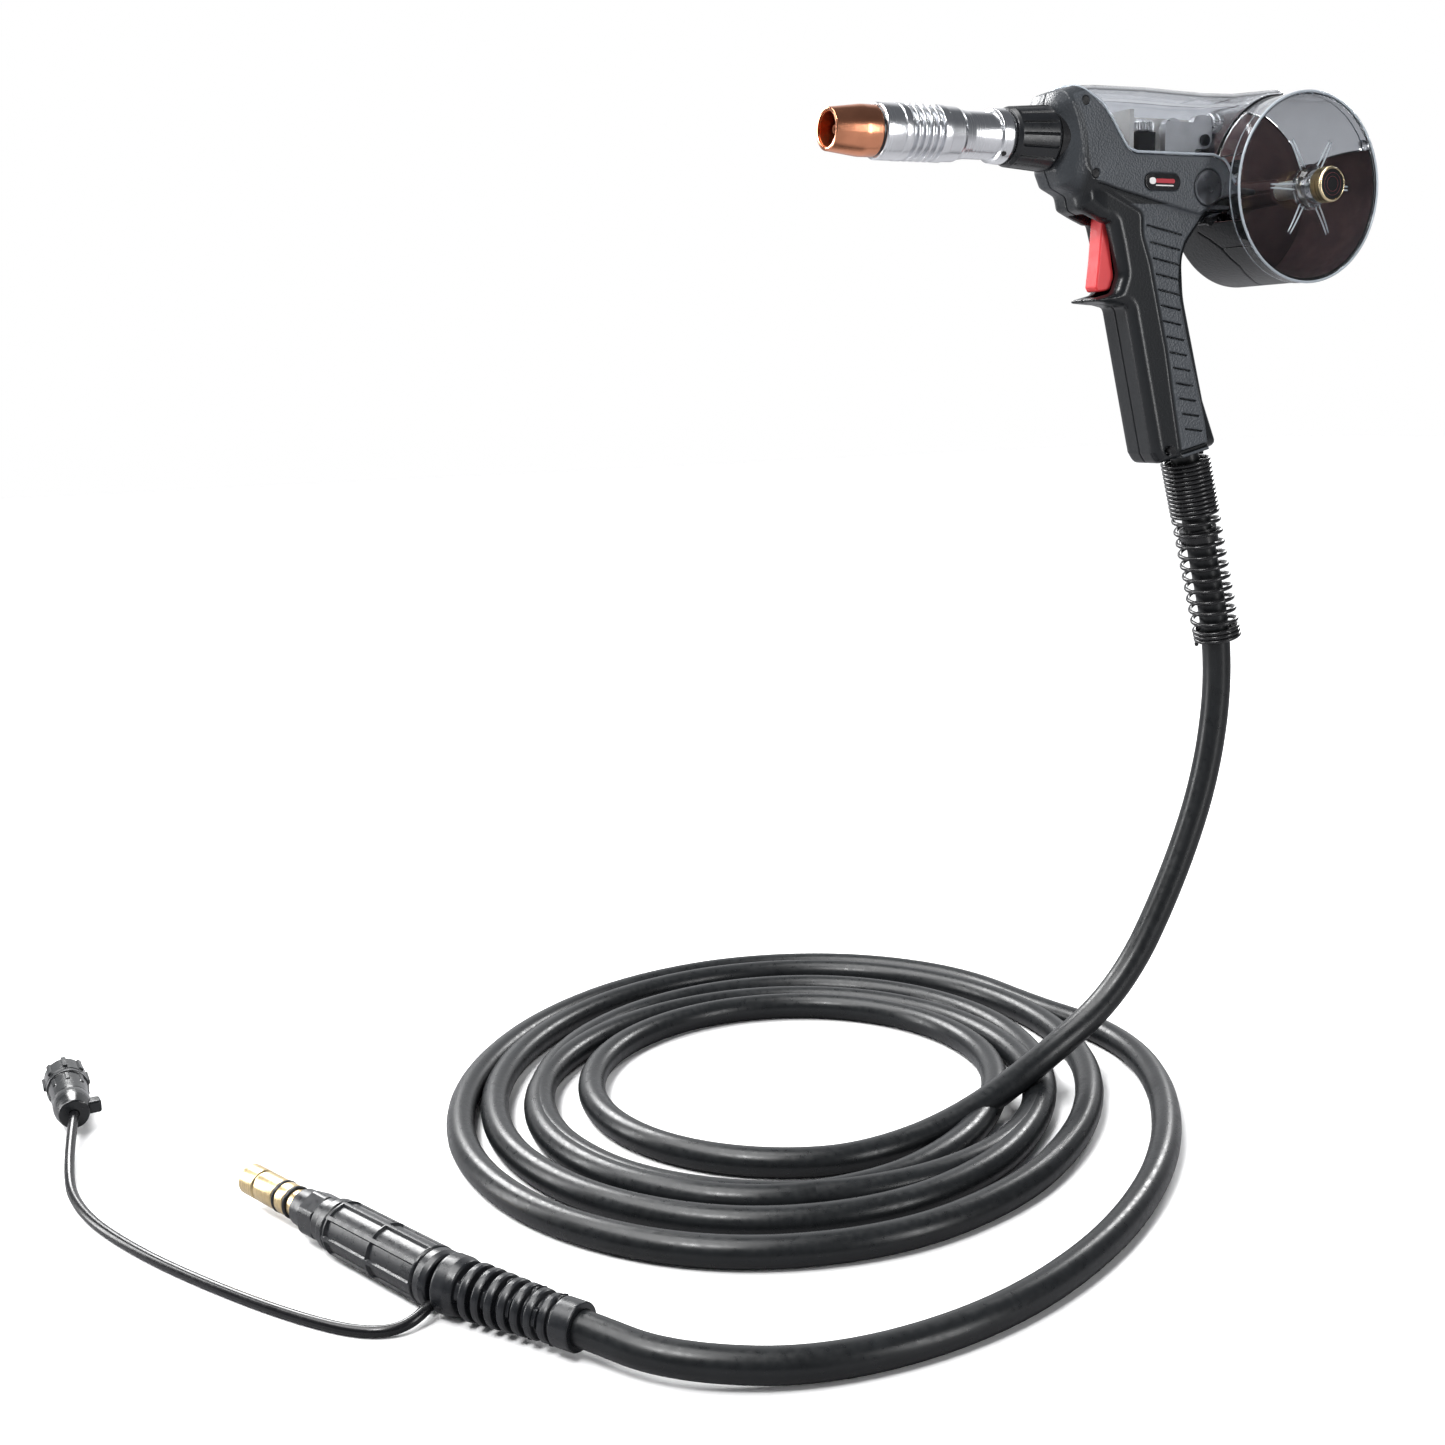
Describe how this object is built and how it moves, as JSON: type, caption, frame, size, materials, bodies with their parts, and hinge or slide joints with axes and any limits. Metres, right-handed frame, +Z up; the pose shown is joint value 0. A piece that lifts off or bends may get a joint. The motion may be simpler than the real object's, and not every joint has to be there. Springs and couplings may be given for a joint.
{
  "type": "mig welding spool gun torch",
  "caption": "Hand-held MIG spool gun: finned barrel with copper nozzle, trigger grip, clear spool cover, wire feeder, long coiled cable with power and control plugs.",
  "frame": {"origin": "centre of the pistol grip, where a hand holds the gun up", "axes": "+X from the nozzle towards the spool drum, along the barrel; +Z up; -Y is the side with the clear cover"},
  "size_m": [0.7902, 0.58, 0.6209],
  "materials": {
    "black_shell": "fine grained moulded nylon",
    "drum_black": "smooth moulded plastic",
    "clear_cover": "clear polycarbonate",
    "red_plastic": "semi-gloss moulded plastic",
    "black_gloss": "semi-gloss moulded plastic",
    "nylon_white": "natural nylon",
    "copper": "satin turned copper",
    "brass": "turned brass",
    "aluminium": "turned and polished",
    "steel": "zinc plated",
    "spring_black": "blackened spring wire",
    "cable_rubber": "satin rubber sheath",
    "rubber": "moulded rubber",
    "badge": "blank enamelled plate"
  },
  "bodies": {
    "gun": {"left_shell": "black_shell", "right_shell": "black_shell", "drum_shell": "drum_black", "name_badge": "badge", "screws": "steel", "spool_spindle": "steel", "brake_spring": "steel", "brake_washer": "steel", "back_window": "clear_cover", "feed_frame": "aluminium", "front_plate": "nylon_white", "guide_block": "black_gloss", "outlet_guide": "brass", "inlet_guide": "brass", "arm_pin": "steel", "arm_spring": "steel", "tension_post": "steel", "gearbox": "black_gloss", "motor": "steel", "dial_sensor": "black_gloss", "barrel_sleeve": "aluminium", "insulator": "black_gloss", "gas_diffuser": "brass", "contact_tip": "copper", "conductor_tube": "copper", "wire_liner": "steel", "barrel_socket": "brass", "trigger_pin": "steel", "trigger_spring": "steel", "trigger_switch": "black_gloss", "strain_spring": "spring_black", "cable_clamp": "steel", "power_cable_drop": "cable_rubber", "cable_coil": "cable_rubber", "power_cable_tail": "cable_rubber", "cable_boot": "rubber", "connector_sleeve": "black_gloss", "connector_nut": "black_gloss", "brass_plug": "brass", "plug_o_rings": "rubber", "control_lead": "cable_rubber", "lead_clamp": "black_gloss", "lead_plug_body": "black_gloss", "lead_plug_pins": "brass"},
    "cover": {"clear_cover": "clear_cover"},
    "cover_nut": {"cover_nut": "brass", "nut_label": "black_gloss"},
    "spool_hub": {"spool_hub": "nylon_white"},
    "drive_roll": {"drive_roll": "steel", "output_shaft": "steel"},
    "pressure_arm": {"pressure_arm": "aluminium", "idle_axle": "steel"},
    "idle_roll": {"idle_roll": "steel"},
    "tension_nut": {"tension_nut": "steel"},
    "guide_nut": {"guide_nut": "steel"},
    "speed_dial": {"speed_dial": "black_gloss"},
    "nozzle": {"gas_nozzle": "copper"},
    "barrel_nut": {"barrel_nut": "black_shell"},
    "trigger": {"trigger": "red_plastic"},
    "plug_ring": {"lead_plug_ring": "black_gloss"}
  },
  "joints": [
    {"name": "trigger_pull", "type": "hinge", "parent": "gun", "child": "trigger", "pos_m": [-0.043, 0, 0.091], "axis": [0, -1, 0], "range_deg": [0, 8], "stiffness_Nm_per_rad": 0.35, "springref_deg": -6.88},
    {"name": "cover_slide", "type": "slide", "parent": "gun", "child": "cover", "axis": [0, -1, 0], "range_m": [0, 0.09]},
    {"name": "cover_nut_spin", "type": "hinge", "parent": "cover", "child": "cover_nut", "pos_m": [0.08, -0.055, 0.1073], "axis": [0, -1, 0], "continuous": true},
    {"name": "spool_hub_spin", "type": "hinge", "parent": "gun", "child": "spool_hub", "pos_m": [0.08, -0.014, 0.1073], "axis": [0, 1, 0], "continuous": true},
    {"name": "drive_roll_spin", "type": "hinge", "parent": "gun", "child": "drive_roll", "pos_m": [0.007, 0, 0.1249], "axis": [0, 1, 0], "continuous": true},
    {"name": "pressure_arm_swing", "type": "hinge", "parent": "gun", "child": "pressure_arm", "pos_m": [0.022, -0.01, 0.136], "axis": [0, 1, 0], "range_deg": [0, 25], "stiffness_Nm_per_rad": 0.4, "springref_deg": -11.46},
    {"name": "idle_roll_spin", "type": "hinge", "parent": "pressure_arm", "child": "idle_roll", "pos_m": [0.007, 0, 0.1426], "axis": [0, 1, 0], "continuous": true},
    {"name": "tension_nut_turn", "type": "hinge", "parent": "gun", "child": "tension_nut", "pos_m": [0.04, 0.0005, 0.148], "axis": [1, 0, 0], "continuous": true},
    {"name": "guide_nut_turn", "type": "hinge", "parent": "gun", "child": "guide_nut", "pos_m": [-0.0182, -0.0035, 0.143], "axis": [0, 0, 1], "continuous": true},
    {"name": "speed_dial_turn", "type": "hinge", "parent": "gun", "child": "speed_dial", "pos_m": [0.0205, -0.02, 0.108], "axis": [0, -1, 0], "range_deg": [-135, 135]},
    {"name": "nozzle_pull", "type": "slide", "parent": "gun", "child": "nozzle", "axis": [-1, 0, 0], "range_m": [0, 0.04]},
    {"name": "barrel_nut_spin", "type": "hinge", "parent": "gun", "child": "barrel_nut", "pos_m": [-0.1, 0, 0.135], "axis": [1, 0, 0], "continuous": true},
    {"name": "plug_ring_turn", "type": "hinge", "parent": "gun", "child": "plug_ring", "pos_m": [-0.6346, 0.3229, -0.4397], "axis": [0.04, 0.9992, 0], "range_deg": [0, 90]}
  ],
  "couplings": [
    {"joint": "idle_roll_spin", "follows": "drive_roll_spin", "ratio": -1.3571}
  ]
}
